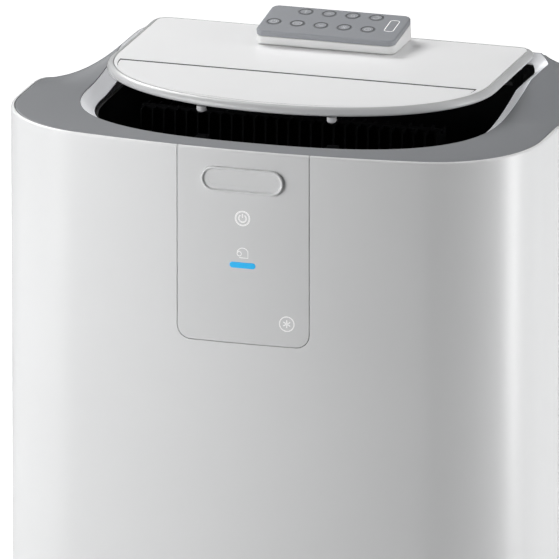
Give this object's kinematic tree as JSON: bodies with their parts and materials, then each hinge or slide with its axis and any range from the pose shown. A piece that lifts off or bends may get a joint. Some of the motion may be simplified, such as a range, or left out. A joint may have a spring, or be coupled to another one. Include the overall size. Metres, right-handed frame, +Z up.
{
  "type": "portable air conditioner",
  "caption": "Portable air conditioner on casters, with a hinged outlet lid over a deck well, a touch control panel, a rear intake door, an exhaust collar and a remote control.",
  "frame": {"origin": "floor level under the middle of the case", "axes": "+Z up, the front with the control panel faces -Y, +X to the right seen from the front"},
  "size_m": [0.488, 0.4414, 0.8401],
  "materials": {
    "white_satin": "satin white injection-moulded ABS",
    "silver_satin": "silver-white satin paint on plastic",
    "deck_grey": "fine-textured mid grey plastic",
    "black_plastic": "matt black plastic",
    "blue_light": "translucent blue light guide",
    "zinc_steel": "zinc-plated steel",
    "aluminium_fin": "bare aluminium fins",
    "copper_pipe": "drawn copper tube",
    "circuit_board": "green solder mask",
    "rubber_black": "matt black rubber",
    "rubber_grey": "soft light grey rubber",
    "compressor_paint": "black enamel",
    "remote_grey": "smooth mid grey plastic"
  },
  "bodies": {
    "housing": {"base_pan": "black_plastic", "front_casing": "white_satin", "rear_casing": "white_satin", "deck_frame": "deck_grey", "outlet_well": "black_plastic", "outlet_grille": "black_plastic", "control_panel": "silver_satin", "badge_capsule": "silver_satin", "light_bar": "blue_light", "control_board": "circuit_board", "lid_motor": "black_plastic", "hinge_pin_left": "zinc_steel", "hinge_pin_right": "zinc_steel", "handle_cup_left": "deck_grey", "handle_cup_right": "deck_grey", "lower_grille": "white_satin", "exhaust_spigot": "white_satin", "cord_gland": "black_plastic", "drain_tray": "black_plastic", "evaporator_coil": "aluminium_fin", "evaporator_scroll": "black_plastic", "evaporator_motor": "zinc_steel", "condenser_coil": "aluminium_fin", "condenser_scroll": "black_plastic", "condenser_motor": "zinc_steel", "compressor": "compressor_paint", "compressor_cushion": "rubber_black", "suction_pipe": "copper_pipe", "discharge_pipe": "copper_pipe", "inverter_box": "zinc_steel"},
    "lid": {"lid_plate": "silver_satin", "lid_insert": "silver_satin", "lid_bumper_left": "rubber_grey", "lid_bumper_right": "rubber_grey"},
    "evaporator_rotor": {"evaporator_fan": "black_plastic"},
    "condenser_rotor": {"condenser_fan": "black_plastic"},
    "door": {"intake_door": "white_satin", "air_filter": "black_plastic"},
    "lower_plug": {"drain_plug": "rubber_black"},
    "upper_plug": {"upper_drain_plug": "rubber_black"},
    "remote": {"remote_base": "white_satin", "remote_top": "remote_grey"},
    "battery_lid": {"battery_cover": "white_satin"},
    "fork_1": {"caster_fork_1": "black_plastic"},
    "wheel_1": {"caster_wheel_1": "rubber_black"},
    "fork_2": {"caster_fork_2": "black_plastic"},
    "wheel_2": {"caster_wheel_2": "rubber_black"},
    "fork_3": {"caster_fork_3": "black_plastic"},
    "wheel_3": {"caster_wheel_3": "rubber_black"},
    "fork_4": {"caster_fork_4": "black_plastic"},
    "wheel_4": {"caster_wheel_4": "rubber_black"},
    "button_1": {"remote_button_1": "remote_grey"},
    "button_2": {"remote_button_2": "remote_grey"},
    "button_3": {"remote_button_3": "remote_grey"},
    "button_4": {"remote_button_4": "remote_grey"},
    "button_5": {"remote_button_5": "remote_grey"},
    "button_6": {"remote_button_6": "remote_grey"},
    "button_7": {"remote_button_7": "remote_grey"},
    "button_8": {"remote_button_8": "remote_grey"},
    "button_9": {"remote_button_9": "remote_grey"}
  },
  "joints": [
    {"name": "lid_hinge", "type": "hinge", "parent": "housing", "child": "lid", "pos_m": [0, 0.0845, 0.801], "axis": [1, 0, 0], "range_deg": [0, 4.5]},
    {"name": "evaporator_fan_spin", "type": "hinge", "parent": "housing", "child": "evaporator_rotor", "pos_m": [0, 0.036, 0.52], "axis": [0, 1, 0], "continuous": true},
    {"name": "condenser_fan_spin", "type": "hinge", "parent": "housing", "child": "condenser_rotor", "pos_m": [0.1, 0.006, 0.18], "axis": [0, 1, 0], "continuous": true},
    {"name": "intake_door_pull", "type": "slide", "parent": "housing", "child": "door", "axis": [0, 1, 0], "range_m": [0, 0.08]},
    {"name": "drain_plug_pull", "type": "slide", "parent": "housing", "child": "lower_plug", "axis": [0, 1, 0], "range_m": [0, 0.03]},
    {"name": "upper_drain_plug_pull", "type": "slide", "parent": "housing", "child": "upper_plug", "axis": [0, 1, 0], "range_m": [0, 0.03]},
    {"name": "remote_lift", "type": "slide", "parent": "lid", "child": "remote", "axis": [0, 0, 1], "range_m": [0, 0.12]},
    {"name": "battery_cover_slide", "type": "slide", "parent": "remote", "child": "battery_lid", "axis": [-1, 0, 0], "range_m": [0, 0.06]},
    {"name": "caster_swivel_1", "type": "hinge", "parent": "housing", "child": "fork_1", "pos_m": [-0.175, -0.145, 0], "axis": [0, 0, 1], "continuous": true},
    {"name": "wheel_roll_1", "type": "hinge", "parent": "fork_1", "child": "wheel_1", "pos_m": [-0.175, -0.133, 0.019], "axis": [1, 0, 0], "continuous": true},
    {"name": "caster_swivel_2", "type": "hinge", "parent": "housing", "child": "fork_2", "pos_m": [-0.175, 0.145, 0], "axis": [0, 0, 1], "continuous": true},
    {"name": "wheel_roll_2", "type": "hinge", "parent": "fork_2", "child": "wheel_2", "pos_m": [-0.175, 0.157, 0.019], "axis": [1, 0, 0], "continuous": true},
    {"name": "caster_swivel_3", "type": "hinge", "parent": "housing", "child": "fork_3", "pos_m": [0.175, -0.145, 0], "axis": [0, 0, 1], "continuous": true},
    {"name": "wheel_roll_3", "type": "hinge", "parent": "fork_3", "child": "wheel_3", "pos_m": [0.175, -0.133, 0.019], "axis": [1, 0, 0], "continuous": true},
    {"name": "caster_swivel_4", "type": "hinge", "parent": "housing", "child": "fork_4", "pos_m": [0.175, 0.145, 0], "axis": [0, 0, 1], "continuous": true},
    {"name": "wheel_roll_4", "type": "hinge", "parent": "fork_4", "child": "wheel_4", "pos_m": [0.175, 0.157, 0.019], "axis": [1, 0, 0], "continuous": true},
    {"name": "button_press_1", "type": "slide", "parent": "remote", "child": "button_1", "axis": [0, 0.1392, -0.9903], "range_m": [0, 0.0008], "stiffness_N_per_m": 600},
    {"name": "button_press_2", "type": "slide", "parent": "remote", "child": "button_2", "axis": [0, 0.1392, -0.9903], "range_m": [0, 0.0008], "stiffness_N_per_m": 600},
    {"name": "button_press_3", "type": "slide", "parent": "remote", "child": "button_3", "axis": [0, 0.1392, -0.9903], "range_m": [0, 0.0008], "stiffness_N_per_m": 600},
    {"name": "button_press_4", "type": "slide", "parent": "remote", "child": "button_4", "axis": [0, 0.1392, -0.9903], "range_m": [0, 0.0008], "stiffness_N_per_m": 600},
    {"name": "button_press_5", "type": "slide", "parent": "remote", "child": "button_5", "axis": [0, 0.1392, -0.9903], "range_m": [0, 0.0008], "stiffness_N_per_m": 600},
    {"name": "button_press_6", "type": "slide", "parent": "remote", "child": "button_6", "axis": [0, 0.1392, -0.9903], "range_m": [0, 0.0008], "stiffness_N_per_m": 600},
    {"name": "button_press_7", "type": "slide", "parent": "remote", "child": "button_7", "axis": [0, 0.1392, -0.9903], "range_m": [0, 0.0008], "stiffness_N_per_m": 600},
    {"name": "button_press_8", "type": "slide", "parent": "remote", "child": "button_8", "axis": [0, 0.1392, -0.9903], "range_m": [0, 0.0008], "stiffness_N_per_m": 600},
    {"name": "button_press_9", "type": "slide", "parent": "remote", "child": "button_9", "axis": [0, 0.1392, -0.9903], "range_m": [0, 0.0008], "stiffness_N_per_m": 600}
  ]
}
